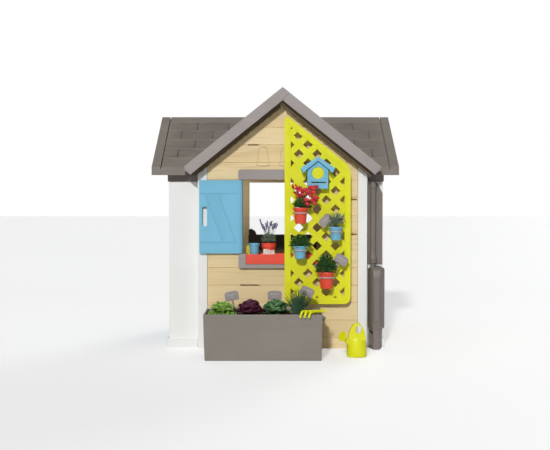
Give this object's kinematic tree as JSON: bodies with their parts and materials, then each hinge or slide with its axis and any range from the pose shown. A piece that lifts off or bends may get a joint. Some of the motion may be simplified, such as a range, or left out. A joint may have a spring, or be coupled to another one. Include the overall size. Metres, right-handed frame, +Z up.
{
  "type": "plastic playhouse",
  "caption": "Child's garden playhouse in moulded plastic with crossed gable roofs, a shuttered window, a half door, a pot trellis, a planter and a rain collector.",
  "frame": {"origin": "middle of the bounding box's base, on the ground", "axes": "+Z up, +Y from the trellis front towards the back, +X to the viewer's right when facing the front"},
  "size_m": [1.285, 1.4494, 1.355],
  "materials": {
    "wall_beige": "fine wood grain, satin",
    "corner_white": "satin",
    "trim_taupe": "fine wood grain, satin",
    "roof_tiles": "matt, moulded tile relief",
    "blue_plastic": "satin",
    "lime_plastic": "satin",
    "red_plastic": "satin",
    "planter_grey": "fine wood grain, satin",
    "pipe_grey": "satin",
    "ring_grey": "satin",
    "label_grey": null,
    "inner_grey": "matt",
    "soil": "crumbly dark soil",
    "leaf_pale": "crinkled leaf",
    "leaf_purple": "crinkled leaf",
    "leaf_green": "leaf",
    "lavender": "flower spikes on grey-green leaves"
  },
  "bodies": {
    "house": {"front_wall": "wall_beige", "back_wall": "wall_beige", "side_wall_left": "wall_beige", "side_wall_right": "wall_beige", "corner_front_left": "corner_white", "corner_front_right": "corner_white", "corner_rear_left": "corner_white", "corner_rear_right": "corner_white", "gable_roof_left": "trim_taupe", "gable_roof_right": "trim_taupe", "lintel_front": "trim_taupe", "lintel_rear": "trim_taupe", "sill_front": "trim_taupe", "sill_rear": "trim_taupe", "door_lintel": "trim_taupe", "wing_roof_left_front": "roof_tiles", "wing_roof_left_rear": "roof_tiles", "wing_roof_right_front": "roof_tiles", "wing_roof_right_rear": "roof_tiles", "birdhouse_body": "blue_plastic", "birdhouse_roof": "blue_plastic", "trellis": "lime_plastic", "birdhouse_disc": "lime_plastic", "window_box": "red_plastic", "planter_box": "planter_grey", "rain_back_plate": "pipe_grey", "rain_tank": "pipe_grey", "tank_stand": "pipe_grey", "downpipe": "pipe_grey", "pot_red_upper_ring": "ring_grey", "pot_blue_upper_ring": "ring_grey", "pot_blue_lower_ring": "ring_grey", "pot_red_lower_ring": "ring_grey", "label_lettuce": "label_grey", "label_cabbage": "label_grey", "label_chives": "label_grey", "inner_ledge": "inner_grey", "planter_soil": "soil", "lettuce": "leaf_pale", "cabbage_purple": "leaf_purple", "cabbage_green": "leaf_green", "chives": "leaf_green"},
    "shutter": {"shutter": "blue_plastic"},
    "half_door": {"half_door": "blue_plastic"},
    "pot_red_upper": {"pot_red_upper": "red_plastic", "pot_red_upper_plant": "leaf_green"},
    "pot_blue_upper": {"pot_blue_upper": "blue_plastic", "pot_blue_upper_plant": "leaf_green", "label_pot_upper": "label_grey"},
    "pot_blue_lower": {"pot_blue_lower": "blue_plastic", "pot_blue_lower_plant": "leaf_green"},
    "pot_red_lower": {"pot_red_lower": "red_plastic", "pot_red_lower_plant": "leaf_green", "label_pot_lower": "label_grey"},
    "hand_rake": {"hand_rake": "lime_plastic"},
    "watering_can": {"watering_can": "lime_plastic", "can_rose": "lime_plastic"},
    "sill_pot_blue": {"sill_pot_blue": "blue_plastic"},
    "sill_pot_red": {"sill_pot_red": "red_plastic", "sill_lavender": "lavender"}
  },
  "joints": [
    {"name": "shutter_hinge", "type": "hinge", "parent": "house", "child": "shutter", "pos_m": [-0.1795, -0.32933, 0.69], "axis": [0, 0, 1], "range_deg": [0, 180]},
    {"name": "half_door_hinge", "type": "hinge", "parent": "house", "child": "half_door", "pos_m": [-0.5715, 0.38467, 0.3], "axis": [0, 0, -1], "range_deg": [0, 100]},
    {"name": "pot_red_upper_lift", "type": "slide", "parent": "house", "child": "pot_red_upper", "axis": [0, 0, 1], "range_m": [0, 0.045]},
    {"name": "pot_blue_upper_lift", "type": "slide", "parent": "house", "child": "pot_blue_upper", "axis": [0, 0, 1], "range_m": [0, 0.045]},
    {"name": "pot_blue_lower_lift", "type": "slide", "parent": "house", "child": "pot_blue_lower", "axis": [0, 0, 1], "range_m": [0, 0.045]},
    {"name": "pot_red_lower_lift", "type": "slide", "parent": "house", "child": "pot_red_lower", "axis": [0, 0, 1], "range_m": [0, 0.045]},
    {"name": "hand_rake_lift", "type": "slide", "parent": "house", "child": "hand_rake", "axis": [0, 0, 1], "range_m": [0, 0.15]},
    {"name": "watering_can_lift", "type": "slide", "parent": "house", "child": "watering_can", "axis": [0, 0, 1], "range_m": [0, 0.3]},
    {"name": "sill_pot_blue_lift", "type": "slide", "parent": "house", "child": "sill_pot_blue", "axis": [0, 0, 1], "range_m": [0, 0.15]},
    {"name": "sill_pot_red_lift", "type": "slide", "parent": "house", "child": "sill_pot_red", "axis": [0, 0, 1], "range_m": [0, 0.15]}
  ]
}
